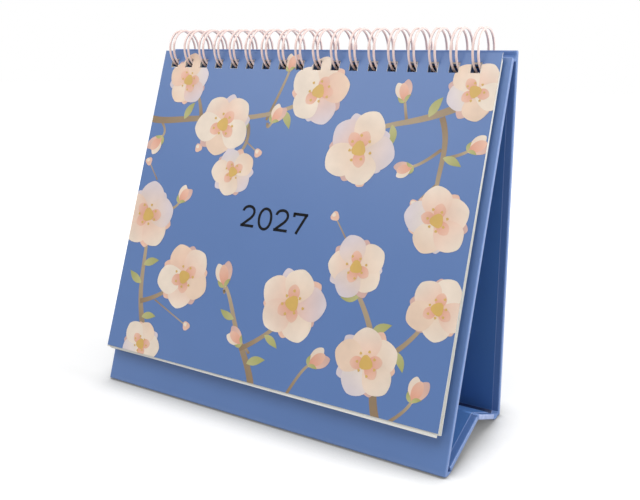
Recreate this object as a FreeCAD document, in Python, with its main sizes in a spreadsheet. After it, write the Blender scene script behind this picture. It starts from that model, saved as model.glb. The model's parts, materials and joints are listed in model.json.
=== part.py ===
"""Tent-shaped desk calendar: four paper-covered boards hinged in a loop, leaves on a twin-loop wire.

Millimetres. X runs along the wire, Y from front to back, Z up. The origin lies on the table under the
middle of the calendar's own box. Every covered board is drawn flat, with its outer face on local y = 0,
its inside towards +y and its length along +z, and is then turned about X and set in its place.
"""
import FreeCAD, Part
import math
import os
import Sketcher
from FreeCAD import Placement, Rotation, Vector

doc = FreeCAD.newDocument("desk_calendar")
ALONG_WIRE = Vector(1, 0, 0)

# ---------------------------------------------------------------- sizes
DRIVING = [
    ("panel_width", 164.0, "every covered board, along the wire"),
    ("board_thick", 1.8, "greyboard"),
    ("wrap_thick", 0.2, "printed paper glued round the greyboard"),
    ("turn_in", 14.0, "wrap turned over the side edges onto the inner face"),
    ("lining_thick", 0.15, "paper glued over the inner face and the turn-ins"),
    ("lining_inset", 4.0, "lining's sides from the side edges of the board"),
    ("lining_end", 2.5, "lining's ends from the ends of the board"),
    ("front_length", 150.3, "front panel, foot to top edge"),
    ("front_lean", 18.0, "front panel, degrees back from upright"),
    ("back_lean", 2.0, "back panel, degrees forward from upright"),
    ("back_set", 4.35, "ring centre to the back panel's outer face"),
    ("back_rise", 0.2, "back panel's top edge above the ring centre"),
    ("ring_rise", 2.64, "ring centre above the front panel's top edge, along the panel"),
    ("ring_set", 1.58, "ring centre behind the front panel's outer face"),
    ("ring_radius", 8.26, "ring, to the middle of the wire"),
    ("wire_gauge", 1.1, "coated wire, diameter"),
    ("twin_half", 1.1, "each wire of a twin loop from the middle of its hole"),
    ("pitch", 8.47, "three holes to the inch"),
    ("loops", 18, "twin loops in the row"),
    ("seam_angle", 325.0, "closed seam of the wire, degrees round the ring from the back"),
    ("seam_gap", 0.5, "loop tips to the link wires, along the ring"),
    ("hole_side", 4.0, "square holes"),
    ("row_shift", -1.9, "middle of the row of holes, off the middle of the panels"),
    ("leaf_width", 159.9, "cover and month leaves"),
    ("cover_length", 134.8, "head to foot"),
    ("cover_shift", -0.85, "middle of the cover, off the middle of the panels"),
    ("page_length", 136.0, "month leaves, which show below the cover"),
    ("page_shift", -0.35, "middle of the month leaves, off the middle of the panels"),
    ("leaf_lift", 1.57, "leaves stand off the front panel by this angle, degrees"),
    ("leaf_stand", 4.22, "ring centre to the cover's printed face"),
    ("cover_thick", 0.3, "cover card"),
    ("block_top", 1.5, "month leaves together at their head"),
    ("block_foot", 2.6, "month leaves together at their fanned foot"),
    ("leaf_gap", 0.1, "cover to the month leaves"),
    ("hang", 0.3, "holes' middle below the wire that carries them"),
    ("head_margin", 5.8, "holes' middle to the leaves' top edge"),
    ("hinge_thick", 0.3, "wrap and lining pressed together at a hinge"),
    ("hinge_slack", 0.15, "free paper between a hinge and the board that it carries"),
    ("fold_gap", 0.3, "air between a base strip and the panel that it folds against"),
    ("swing_room", 3.0, "room behind the rear base strip while the stand folds"),
    ("rear_lift", 1.1, "rear base strip's foot above the table"),
    ("crease_height", 8.35, "crease in the base above the line through its two feet"),
    ("crease_gap", 0.3, "rear base board's end to the crease"),
    ("spine_depth", 3.1, "spine paper below the ring centre"),
    ("spine_reach", 1.1, "spine paper's free edge behind the ring centre"),
]

# What follows from them. A run is measured back from the front panel's outer foot.
FOLLOWING = [
    ("panel_thick", "=board_thick + 2 * wrap_thick"),
    ("front_arm", "=front_length + ring_rise"),
    ("ring_run", "=front_arm * sin(front_lean) + ring_set * cos(front_lean)"),
    ("ring_height", "=front_arm * cos(front_lean) + (panel_thick - ring_set) * sin(front_lean)"),
    ("back_inset", "=back_set - panel_thick"),
    ("back_length", "=back_rise + (ring_height + back_inset * sin(back_lean)) / cos(back_lean)"),
    ("back_top_run", "=ring_run + back_set * cos(back_lean) - back_rise * sin(back_lean)"),
    ("back_top_height", "=ring_height + back_set * sin(back_lean) + back_rise * cos(back_lean)"),
    ("back_foot_run", "=back_top_run + back_length * sin(back_lean)"),
    ("front_drop", "=sqrt(ring_radius ^ 2 - (ring_set - panel_thick / 2) ^ 2)"),
    ("back_drop", "=sqrt(ring_radius ^ 2 - (back_set - panel_thick / 2) ^ 2)"),
    ("leaf_lean", "=front_lean + leaf_lift"),
    ("leaf_stack", "=cover_thick + leaf_gap + block_top"),
    ("hole_drop", "=sqrt(ring_radius ^ 2 - (leaf_stand - leaf_stack / 2) ^ 2) + hang"),
    ("head_drop", "=hole_drop - head_margin"),
    ("cover_reach", "=head_drop + cover_length"),
    ("cover_foot_run", "=ring_run - leaf_stand * cos(leaf_lean) - cover_reach * sin(leaf_lean)"),
    ("cover_foot_height", "=ring_height + leaf_stand * sin(leaf_lean) - cover_reach * cos(leaf_lean)"),
    ("page_stand", "=leaf_stand - cover_thick - leaf_gap"),
    ("page_reach", "=head_drop + page_length"),
    ("page_foot_run", "=ring_run - page_stand * cos(leaf_lean) - page_reach * sin(leaf_lean)"),
    ("page_foot_height", "=ring_height + page_stand * sin(leaf_lean) - page_reach * cos(leaf_lean)"),
    ("last_hole_left", "=row_shift + (loops - 1) / 2 * pitch - hole_side / 2"),
    ("cover_hole_left", "=last_hole_left - cover_shift"),
    ("cover_hole_foot", "=cover_length - head_margin - hole_side / 2"),
    ("page_hole_left", "=last_hole_left - page_shift"),
    ("page_hole_foot", "=page_length - head_margin - hole_side / 2"),
    ("ring_back_run", "=ring_run + ring_radius + wire_gauge / 2"),
    ("box_front", "=min(cover_foot_run; page_foot_run; 0)"),
    ("box_middle", "=(box_front + max(back_foot_run; ring_back_run)) / 2"),
    ("fold_room", "=panel_thick + 2 * lining_thick + fold_gap"),
    ("inner_foot_run", "=panel_thick * cos(front_lean)"),
    ("pivot_run", "=inner_foot_run + fold_room / cos(front_lean)"),
    ("rear_foot_run", "=back_foot_run - panel_thick * cos(back_lean)"),
    ("rear_room", "=(fold_room + swing_room) / cos(back_lean)"),
    ("rear_pivot_run", "=rear_foot_run - rear_lift * tan(back_lean) - rear_room"),
    ("base_span", "=sqrt((rear_pivot_run - pivot_run) ^ 2 + rear_lift ^ 2)"),
    ("arm_front", "=sqrt((ring_run - pivot_run) ^ 2 + ring_height ^ 2)"),
    ("arm_rear", "=sqrt((ring_run - rear_pivot_run) ^ 2 + (ring_height - rear_lift) ^ 2)"),
    ("arm_more", "=arm_front - arm_rear"),
    ("skew", "=arm_more / base_span"),
    ("strips", "=sqrt((4 * crease_height ^ 2 + base_span ^ 2 - arm_more ^ 2) / (1 - skew ^ 2))"),
    ("strip_front", "=(strips + arm_more) / 2"),
    ("strip_rear", "=(strips - arm_more) / 2"),
    ("base_tip", "=asin(rear_lift / base_span)"),
    ("rise_front", "=asin(crease_height / strip_front) + base_tip"),
    ("rise_rear", "=asin(crease_height / strip_rear) - base_tip"),
    ("crease_run", "=pivot_run + strip_front * cos(rise_front)"),
    ("crease_up", "=strip_front * sin(rise_front)"),
    ("base_front_length", "=strip_front - hinge_thick - hinge_slack"),
    ("base_rear_length", "=strip_rear - crease_gap"),
    ("spine_up", "=ring_height - spine_depth"),
    ("spine_start", "=inner_foot_run + (spine_up + hinge_thick) * tan(front_lean)"),
]

sheet = doc.addObject("Spreadsheet::Sheet", "Sizes")
for row, (alias, size, note) in enumerate(DRIVING, 1):
    sheet.set(f"A{row}", note)
    sheet.set(f"B{row}", str(size))
    sheet.setAlias(f"B{row}", alias)
for row, (alias, formula) in enumerate(FOLLOWING, len(DRIVING) + 2):
    sheet.set(f"A{row}", alias.replace("_", " "))
    sheet.set(f"B{row}", formula)
    sheet.setAlias(f"B{row}", alias)
doc.recompute()


def value(alias):
    cell = sheet.get(alias)
    return float(getattr(cell, "Value", cell))


def bind(thing, **links):
    """Tie properties to the sheet: @ stands for a cell, two underscores for a dot in the property."""
    for path, formula in links.items():
        thing.setExpression(path.replace("__", "."), formula.replace("@", "Sizes."))
    return thing


def place(thing, run, height, turn, side="0"):
    """Turn a piece about X, then set its origin at a run and a height."""
    thing.Placement = Placement(Vector(0, 0, 0), Rotation(ALONG_WIRE, 1))
    return bind(thing, Placement__Base__x=side, Placement__Base__y=f"{run} - @box_middle",
                Placement__Base__z=height, Placement__Rotation__Angle=turn)


def box(name, length, width, height, x=None, y="0", z="0"):
    """A box with its low corner at x, y, z, or centred on x = 0."""
    solid = doc.addObject("Part::Box", name)
    return bind(solid, Length=length, Width=width, Height=height, Placement__Base__x=x or f"-({length}) / 2",
                Placement__Base__y=y, Placement__Base__z=z)


def fused(name, shapes):
    union = doc.addObject("Part::MultiFuse", name)
    union.Shapes = shapes
    return union


def both(kind, name, base, tool):
    """A Part::Cut or a Part::Common of two shapes."""
    result = doc.addObject(kind, name)
    result.Base = base
    result.Tool = tool
    return result


# ---------------------------------------------------------------- covered boards
def punch(name, middle):
    """The row of square holes through a panel, as one tool."""
    pins = [box(f"{name}_punch_{n + 1}", "@hole_side", "3 * @panel_thick", "@hole_side",
                x=f"@last_hole_left - {n} * @pitch", y="-@panel_thick",
                z=f"{middle} - @hole_side / 2")
            for n in range(loops)]
    return fused(f"{name}_punch", pins)


def covered_board(name, length, run, height, turn, holes=None):
    """Greyboard in a printed wrap that is turned in at its sides, with a lining over the inner face."""
    core_length = f"{length} - 2 * @wrap_thick"
    between = "@panel_width - 2 * @turn_in"
    outside = box(f"{name}_outside", "@panel_width", "@panel_thick", length)
    room = box(f"{name}_room", "@panel_width - 2 * @wrap_thick", "@board_thick", core_length,
               y="@wrap_thick", z="@wrap_thick")
    window = box(f"{name}_window", between, "@board_thick + @wrap_thick", core_length,
                 y="@wrap_thick", z="@wrap_thick")
    sunk = box(f"{name}_sunk", between, "@wrap_thick", core_length,
               y="@wrap_thick + @board_thick", z="@wrap_thick")
    sheet_top = box(f"{name}_sheet", "@panel_width - 2 * @lining_inset", "@lining_thick",
                    f"{length} - 2 * @lining_end", y="@panel_thick", z="@lining_end")
    layers = {"board": both("Part::Common", f"{name}_core", outside, room),
              "wrap": both("Part::Cut", f"{name}_sleeve", outside, fused(f"{name}_inside", [room, window])),
              "lining": fused(f"{name}_paper", [sunk, sheet_top])}
    if holes:
        tool = punch(name, holes)
        layers = {layer: both("Part::Cut", f"{name}_{layer}_punched", shape, tool)
                  for layer, shape in layers.items()}
    for layer, shape in layers.items():
        place(shape, run, height, turn)
        shape.Label = f"{name}_{layer}"
    return list(layers.values())


loops = round(value("loops"))
pieces = covered_board("front", "@front_length", "0", "@panel_thick * sin(@front_lean)", "-@front_lean",
                       holes="@front_arm - @front_drop")
# The back panel is drawn from its top edge down.
pieces += covered_board("back", "@back_length", "@back_top_run", "@back_top_height", "180 + @back_lean",
                        holes="@back_rise + @back_drop")
# The front strip of the base is drawn from the crease to its foot, the rear strip from its foot up.
pieces += covered_board("base_front", "@base_front_length", "@crease_run", "@crease_up",
                        "90 deg + @rise_front")
pieces += covered_board("base_rear", "@base_rear_length", "@rear_pivot_run", "@rear_lift",
                        "90 deg - @rise_rear")


# ---------------------------------------------------------------- paper hinges of the wrap
def hinge_paper(name, run, width, height):
    """A flat strip of bare paper between two boards."""
    strip = box(name, "@panel_width", width, "@hinge_thick",
                y=f"{run} - @box_middle", z=height)
    strip.Label = name
    return strip


spine_end = "@ring_run + @spine_reach"
pieces.append(hinge_paper("spine_hinge", "@spine_start", f"{spine_end} - @spine_start", "@spine_up"))
foot_start = "(@inner_foot_run + @hinge_thick * tan(@front_lean))"
pieces.append(hinge_paper("front_foot_hinge", foot_start, f"@pivot_run - {foot_start}", "0"))
pieces.append(hinge_paper("rear_foot_hinge", "@rear_pivot_run",
                          "@rear_foot_run - @hinge_thick * tan(@back_lean) - @rear_pivot_run", "0"))

# The crease is a rounded ridge of paper that closes the wedge between the ends of the two base boards.
ridge_round = doc.addObject("Part::Cylinder", "ridge_round")
ridge_round.Placement = Placement(Vector(0, 0, 0), Rotation(Vector(1, 1, 1), 120))  # its axis along X
bind(ridge_round, Radius="@panel_thick + @lining_thick", Height="@panel_width",
     Angle="@rise_front + @rise_rear", Placement__Base__x="-@panel_width / 2")
ridge_bounds = box("ridge_bounds", "@panel_width", "4 * @panel_thick", "2 * @panel_thick",
                   y="-2 * @panel_thick")
ridge = place(both("Part::Common", "ridge", ridge_round, ridge_bounds),
              "@crease_run", "@crease_up", "90 deg - @rise_rear")
ridge.Label = "crease_hinge"
pieces.append(ridge)


# ---------------------------------------------------------------- twin-loop wire
def twin_loop_wire():
    """One wire, bent link by link: up from the seam, round the ring, a U-turn at the tip, and back."""
    gauge, radius, half = value("wire_gauge") / 2, value("ring_radius"), value("twin_half")
    centre_y, centre_z = value("ring_run") - value("box_middle"), value("ring_height")
    link = value("pitch") - 4 * half
    bend_angle = math.degrees(half / radius)
    thick_angle = math.degrees((2 * gauge + value("seam_gap")) / radius)
    start = value("seam_angle") + bend_angle
    sweep = 360 - 2 * bend_angle - thick_angle
    spot = Vector(value("row_shift") - value("pitch") * loops / 2, centre_y, centre_z)
    radial = Rotation(ALONG_WIRE, start).multVec(Vector(0, 1, 0))
    rising = Rotation(ALONG_WIRE, start).multVec(Vector(0, 0, 1))
    spot = spot + radial * radius - rising * half
    heading = ALONG_WIRE
    spans = []

    def straight(length):
        nonlocal spot
        disc = Part.Face(Part.Wire(Part.makeCircle(gauge, spot, heading)))
        spans.append(disc.extrude(heading * length))
        spot = spot + heading * length

    def bend(middle, axis, angle):
        nonlocal spot, heading
        disc = Part.Face(Part.Wire(Part.makeCircle(gauge, spot, heading)))
        spans.append(disc.revolve(middle, axis, angle))
        turn = Rotation(axis, angle)
        spot = middle + turn.multVec(spot - middle)
        heading = turn.multVec(heading)

    for number in range(loops):
        straight(link / 2)
        bend(spot + rising * half, heading.cross(rising), 90)
        bend(Vector(spot.x, centre_y, centre_z), ALONG_WIRE, sweep)
        bend(spot + ALONG_WIRE * half, heading.cross(ALONG_WIRE), 180)
        bend(Vector(spot.x, centre_y, centre_z), -ALONG_WIRE, sweep)
        bend(spot + ALONG_WIRE * half, heading.cross(ALONG_WIRE), 90)
        straight(link / 2)
    return spans[0].multiFuse(spans[1:])


wire = doc.addObject("Part::Feature", "wire")
wire.Shape = twin_loop_wire()
wire.Label = "binding_wire"
pieces.append(wire)


# ---------------------------------------------------------------- leaves
ORIGIN = (-1, 1)


def start_of(line):
    return line, 1


def end_of(line):
    return line, 2


def rule(sketch, kind, *items, formula=None):
    """Add a constraint; a formula ties its measure to the sheet."""
    if formula:
        number = sketch.addConstraint(Sketcher.Constraint(kind, *items, 1.0))
        sketch.setExpression(f"Constraints[{number}]", formula.replace("@", "Sizes."))
    else:
        sketch.addConstraint(Sketcher.Constraint(kind, *items))


def outline(body, name, role, corners):
    """A sketch of one closed outline on a plane of the body, its lines joined end to end."""
    sketch = body.newObject("Sketcher::SketchObject", name)
    plane = next(feature for feature in body.Origin.OriginFeatures if feature.Role == role)
    sketch.AttachmentSupport = [(plane, "")]
    sketch.MapMode = "FlatFace"
    ends = corners[1:] + corners[:1]
    sketch.addGeometry([Part.LineSegment(Vector(*a, 0), Vector(*b, 0)) for a, b in zip(corners, ends)])
    for line in range(len(corners)):
        rule(sketch, "Coincident", *end_of(line), *start_of((line + 1) % len(corners)))
    return sketch


def rectangle(body, name, left, foot, width, height):
    """A rectangle on the front plane from a lower left corner, its width and height tied to cells."""
    right, head = left + value(width), foot + value(height)
    sketch = outline(body, name, "XZ_Plane", [(left, foot), (right, foot), (right, head), (left, head)])
    for line in (0, 2):
        rule(sketch, "Horizontal", line)
    for line in (1, 3):
        rule(sketch, "Vertical", line)
    rule(sketch, "DistanceX", *start_of(0), *end_of(0), formula=f"@{width}")
    rule(sketch, "DistanceY", *start_of(1), *end_of(1), formula=f"@{height}")
    return sketch


def punched(leaf):
    """Punch the row of square holes through a leaf, from the right-hand one to the left-hand one."""
    left, foot = f"{leaf.Name}_hole_left", f"{leaf.Name}_hole_foot"
    square = rectangle(leaf, f"{leaf.Name}_hole", value(left), value(foot), "hole_side", "hole_side")
    rule(square, "DistanceX", *ORIGIN, *start_of(0), formula=f"@{left}")
    rule(square, "DistanceY", *ORIGIN, *start_of(0), formula=f"@{foot}")
    pocket = leaf.newObject("PartDesign::Pocket", f"{leaf.Name}_pocket")
    pocket.Profile = square
    pocket.Type = "ThroughAll"
    row = leaf.newObject("PartDesign::LinearPattern", f"{leaf.Name}_row")
    row.Originals = [pocket]
    row.Direction = (square, ["H_Axis"])
    row.Reversed = True
    row.Mode = "Spacing"
    bind(row, Offset="@pitch", Occurrences="@loops")
    leaf.Tip = row
    place(leaf, f"@{leaf.Name}_foot_run", f"@{leaf.Name}_foot_height", "-@leaf_lean",
          side=f"@{leaf.Name}_shift")
    pieces.append(leaf)


cover = doc.addObject("PartDesign::Body", "cover")
card = rectangle(cover, "card", -value("leaf_width") / 2, 0, "leaf_width", "cover_length")
rule(card, "Symmetric", *start_of(0), *end_of(0), *ORIGIN)
card_pad = cover.newObject("PartDesign::Pad", "card_pad")
card_pad.Profile = card
card_pad.Reversed = True
bind(card_pad, Length="@cover_thick")
punched(cover)
cover.Label = "cover_leaf"

# The twelve month leaves and their backing leaf lie close at the head and fan out towards the foot.
pages = doc.addObject("PartDesign::Body", "page")
long = value("page_length")
stack = outline(pages, "stack", "YZ_Plane",
                [(0, 0), (value("block_foot"), 0), (value("block_top"), long), (0, long)])
for side in (0, 2):
    rule(stack, "Horizontal", side)
rule(stack, "Vertical", 3)
rule(stack, "Coincident", *start_of(0), *ORIGIN)
rule(stack, "DistanceX", *start_of(0), *end_of(0), formula="@block_foot")
rule(stack, "DistanceX", *end_of(2), *start_of(2), formula="@block_top")
rule(stack, "DistanceY", *end_of(3), *start_of(3), formula="@page_length")
stack_pad = pages.newObject("PartDesign::Pad", "stack_pad")
stack_pad.Profile = stack
stack_pad.SideType = "Symmetric"
bind(stack_pad, Length="@leaf_width")
punched(pages)
pages.Label = "page_block"

# ---------------------------------------------------------------- check and write
doc.recompute()
for thing in doc.Objects:
    if "Invalid" in thing.State or "Error" in thing.State:
        raise RuntimeError(f"{thing.Label} failed: {thing.State}")
for piece in pieces:
    if piece.Shape.isNull() or not piece.Shape.isValid() or not piece.Shape.Solids:
        raise RuntimeError(f"{piece.Label} has no sound shape")
os.makedirs("parts", exist_ok=True)
for piece in pieces:
    piece.Shape.exportStep(f"parts/{piece.Label}.step")

for name, run, height in (("stand fold and leaf turn", "ring_run", "ring_height"),
                          ("front foot", "pivot_run", None), ("crease", "crease_run", "crease_up")):
    level = value(height) if height else 0.0
    print(f"{name}: y {value(run) - value('box_middle'):.3f}, z {level:.3f}")
print(f"base strips rise {value('rise_front'):.3f} and {value('rise_rear'):.3f} degrees")
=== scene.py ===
"""Desk calendar: a folding stand of covered boards, month leaves and a coated twin-loop wire."""

import json
import math
import random

import bmesh
import bpy
from mathutils import Matrix, Vector


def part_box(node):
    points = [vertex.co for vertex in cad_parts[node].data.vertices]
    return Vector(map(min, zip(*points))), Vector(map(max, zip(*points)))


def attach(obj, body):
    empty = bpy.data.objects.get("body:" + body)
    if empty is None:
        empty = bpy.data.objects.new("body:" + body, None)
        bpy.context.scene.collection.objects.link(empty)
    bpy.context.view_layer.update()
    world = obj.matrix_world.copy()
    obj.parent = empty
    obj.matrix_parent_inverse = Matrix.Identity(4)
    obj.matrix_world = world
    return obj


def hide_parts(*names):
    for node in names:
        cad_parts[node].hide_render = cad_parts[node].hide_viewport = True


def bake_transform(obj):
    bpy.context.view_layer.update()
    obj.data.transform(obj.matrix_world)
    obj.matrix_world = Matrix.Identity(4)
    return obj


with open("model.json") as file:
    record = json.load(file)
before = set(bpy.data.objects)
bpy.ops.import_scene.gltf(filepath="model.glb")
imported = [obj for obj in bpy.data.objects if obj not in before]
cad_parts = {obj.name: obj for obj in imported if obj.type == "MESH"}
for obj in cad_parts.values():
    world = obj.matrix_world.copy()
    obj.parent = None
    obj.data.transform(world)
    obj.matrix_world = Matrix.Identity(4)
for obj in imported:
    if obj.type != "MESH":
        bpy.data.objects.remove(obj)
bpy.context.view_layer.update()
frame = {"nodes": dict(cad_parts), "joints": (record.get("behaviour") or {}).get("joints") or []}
MM = 0.001

# ---------------------------------------------------------------- greyboard cores
# Four strips of 1.8 mm grey paperboard, pressed from waste paper and cut with a guillotine.
# They are covered all over, and show only as the walls of the punched holes, so their colour is drawn dark
# brown, partly as painted shade inside the holes.
GREYBOARD_AND_HOLE_SHADE = "#4c3a33"
GREYBOARD_FLECK_AND_HOLE_SHADE = "#352824"
PULP_FLECK, PULP_RELIEF = 0.35 * MM, 0.05 * MM
# The places of a Mix node's factor and two colours among its inputs, and of its colour among its outputs.
FACTOR, FIRST, SECOND, MIXED = 0, 6, 7, 2


def hue(code):
    """An sRGB hex colour as linear numbers."""
    parts = [int(code[i:i + 2], 16) / 255 for i in (1, 3, 5)]
    return *((c / 12.92 if c <= 0.04045 else ((c + 0.055) / 1.055) ** 2.4) for c in parts), 1.0


def feed(owner, node, inputs):
    """Give a node's sockets plain values or other nodes' outputs."""
    for name, given in inputs.items():
        if isinstance(given, bpy.types.NodeSocket):
            owner.node_tree.links.new(given, node.inputs[name])
        else:
            node.inputs[name].default_value = given


def add(owner, kind, inputs=None, **settings):
    """A shader node with its settings, its values and its links."""
    node = owner.node_tree.nodes.new(kind)
    for name, choice in settings.items():
        setattr(node, name, choice)
    feed(owner, node, inputs or {})
    return node


def surface(name):
    """A new material, its shader and its object coordinates."""
    material = bpy.data.materials.new(name)
    material.use_nodes = True
    shader = material.node_tree.nodes["Principled BSDF"]
    return material, shader, add(material, "ShaderNodeTexCoord").outputs["Object"]


def grained(name, tones, grain, relief, finish, detail=4, rough=0.5, within=(0, 1)):
    """Two tones that follow a grain of this size and relief in metres, and the finish's own numbers."""
    material, shader, place = surface(name)
    height = add(material, "ShaderNodeTexNoise", {"Vector": place, "Scale": 1 / grain, "Detail": detail,
                                                  "Roughness": rough}).outputs["Fac"]
    share = add(material, "ShaderNodeMapRange", {"Value": height, "From Min": within[0],
                                                 "From Max": within[1]}).outputs[0]
    tone = add(material, "ShaderNodeMix", {FACTOR: share, FIRST: hue(tones[0]), SECOND: hue(tones[1])},
               data_type="RGBA").outputs[MIXED]
    bump = add(material, "ShaderNodeBump", {"Height": height, "Distance": relief}).outputs[0]
    feed(material, shader, {"Base Color": tone, "Normal": bump, **finish})
    return material


# Greyboard: flecked pulp, quite rough, darkened partly as painted shade in the holes.
greyboard = grained("greyboard", (GREYBOARD_FLECK_AND_HOLE_SHADE, GREYBOARD_AND_HOLE_SHADE), PULP_FLECK, PULP_RELIEF, {"Roughness": 0.9},
                    within=(0.35, 0.65))
for board in ("front_board", "back_board", "base_front_board", "base_rear_board"):
    frame["nodes"][board].material_slots[0].material = greyboard

# ---------------------------------------------------------------- blue wraps
# Printed and film-laminated paper, 0.2 mm, glued round each board: over its outer face, round its
# edges and 14 mm in over its inner face. The two panels are punched with one row of square holes.
WRAP_BLUE = "#5b7eb8"
WRAP_SHADE = "#5779b2"
# Edge tone: partly wear, partly a painted highlight where the rounded edges and sides catch the light.
WRAP_EDGE_WEAR_AND_HIGHLIGHT = "#a9b7e0"
# The film's orange peel, the print's slow changes of tone, and the scuffs that break up the paler edges, which
# are partly wear and partly painted highlight.
FILM_DIMPLE, FILM_RELIEF = 0.9 * MM, 0.012 * MM
MOTTLE = 24 * MM
SCUFF = 2.5 * MM
WRAP = 0.2 * MM
BOARD_EDGE_ROUND, ROUND_STEPS = 0.5 * MM, 4
# How far in from the sides and from the ends the edges are painted paler, as wear and as painted highlight.
HIGHLIGHT_AND_WEAR_SIDE, HIGHLIGHT_AND_WEAR_END = 0.9 * MM, 2.2 * MM
TURN_IN = 14 * MM
# Half the least length of bare board left between the turn-ins of a short strip.
LEAST_WINDOW = 4 * MM
PANEL_HALF = 82 * MM
COVERED = 2.2 * MM
HOLE = 4 * MM
FRONT_HOLES_FROM_TOP = 5.61 * MM
BACK_HOLES_FROM_TOP = 7.79 * MM

wire_low, wire_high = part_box("binding_wire")
LOOPS = 18
pitch = (wire_high.x - wire_low.x) / LOOPS
row = [wire_low.x + pitch * (number + 0.5) for number in range(LOOPS)]


def dimpled(material, place):
    """The fine shallow dimples of laminated film."""
    dimples = add(material, "ShaderNodeTexNoise", {"Vector": place, "Scale": 1 / FILM_DIMPLE, "Detail": 3,
                                                   "Roughness": 0.6}).outputs["Fac"]
    return add(material, "ShaderNodeBump", {"Height": dimples, "Distance": FILM_RELIEF}).outputs[0]


def mottled(material, place, tones):
    """Flat printed colour in two near tones that pass softly into each other."""
    patches = add(material, "ShaderNodeTexNoise", {"Vector": place, "Scale": 1 / MOTTLE}).outputs["Fac"]
    return add(material, "ShaderNodeMix", {FACTOR: patches, FIRST: hue(tones[0]), SECOND: hue(tones[1])},
               data_type="RGBA").outputs[MIXED]


def coloured(name, tones, rough):
    """Laminated print: mottled colour, paler on the edges as wear and as painted highlight, under dimpled film.
    """
    material, shader, place = surface(name)
    scuffs = add(material, "ShaderNodeTexNoise", {"Vector": place, "Scale": 1 / SCUFF}).outputs["Fac"]
    scuffs = add(material, "ShaderNodeMapRange", {"Value": scuffs, "From Min": -0.1,
                                                  "From Max": 0.7}).outputs[0]
    # The edge mask: paler colour on the rounded edges, as wear and as painted highlight.
    highlight_and_wear_mask = add(material, "ShaderNodeAttribute", attribute_name="edge").outputs["Fac"]
    highlight_and_wear_mask = add(material, "ShaderNodeMath", {0: highlight_and_wear_mask, 1: scuffs}, operation="MULTIPLY").outputs[0]
    tone = add(material, "ShaderNodeMix", {FACTOR: highlight_and_wear_mask, FIRST: mottled(material, place, tones),
                                           SECOND: hue(WRAP_EDGE_WEAR_AND_HIGHLIGHT)}, data_type="RGBA").outputs[MIXED]
    feed(material, shader, {"Base Color": tone, "Normal": dimpled(material, place), "Roughness": rough,
                            "Coat Weight": 0.25, "Coat Roughness": 0.32})
    return material


# Wrap paper: periwinkle blue print under a satin film.
wrap_blue = coloured("blue_wrap_paper", (WRAP_BLUE, WRAP_SHADE), 0.42)


def ends(node, first, last):
    """The vertices of a CAD node that lie furthest along two directions of its cross-section."""
    spots = [frame["nodes"][node].matrix_world @ v.co for v in frame["nodes"][node].data.vertices]
    found = []
    for direction in (first, last):
        spot = max(spots, key=lambda p: p.y * direction[0] + p.z * direction[1])
        found.append(Vector((0, spot.y, spot.z)))
    return found


def upright(foot, top, across=1):
    """Where a flat piece stands: its own X across, Y inward and Z from its foot to its top."""
    x = Vector((across, 0, 0))
    z = (top - foot).normalized()
    turned = Matrix((x, z.cross(x), z)).transposed().to_4x4()
    return Matrix.Translation(foot) @ turned


def split(bm, spot, normal, outer=False):
    """Cut every face along a plane, and drop what lies beyond it where outer is set."""
    bmesh.ops.bisect_plane(bm, geom=bm.verts[:] + bm.edges[:] + bm.faces[:], plane_co=spot,
                           plane_no=normal, clear_outer=outer)


def punch(bm, centres, height, side=HOLE):
    """Cut a row of square holes through every face that lies across Y."""
    for centre in centres:
        for edge in (centre - side / 2, centre + side / 2):
            split(bm, (edge, 0, 0), (1, 0, 0))
    for edge in (height - side / 2, height + side / 2):
        split(bm, (0, 0, edge), (0, 0, 1))
    holes = [face for face in bm.faces if abs(face.calc_center_median().z - height) < side / 2
             and min(abs(face.calc_center_median().x - centre) for centre in centres) < side / 2
             and abs(face.normal.y) > 0.9]
    bmesh.ops.delete(bm, geom=holes, context="FACES")


def made(name, bm, place, body, materials, replaced=(), smooth=True):
    """Turn a bmesh into a piece of the calendar that rides on a body."""
    bmesh.ops.transform(bm, matrix=place, verts=bm.verts)
    mesh = bpy.data.meshes.new(name)
    bm.to_mesh(mesh)
    bm.free()
    if smooth:
        mesh.shade_smooth()
    else:
        mesh.shade_flat()
    piece = bpy.data.objects.new(name, mesh)
    bpy.context.scene.collection.objects.link(piece)
    for material in materials:
        mesh.materials.append(material)
    if replaced:
        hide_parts(*replaced)
    if body:
        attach(piece, body)
    return piece


def thicken(piece, thickness, offset, rim=0, back=0):
    """Give a sheet its thickness, and its rim and back their own materials."""
    solidify = piece.modifiers.new("thickness", "SOLIDIFY")
    solidify.thickness = thickness
    solidify.offset = offset
    solidify.use_even_offset = True
    solidify.material_offset_rim = rim
    solidify.material_offset = back
    return piece


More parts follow.
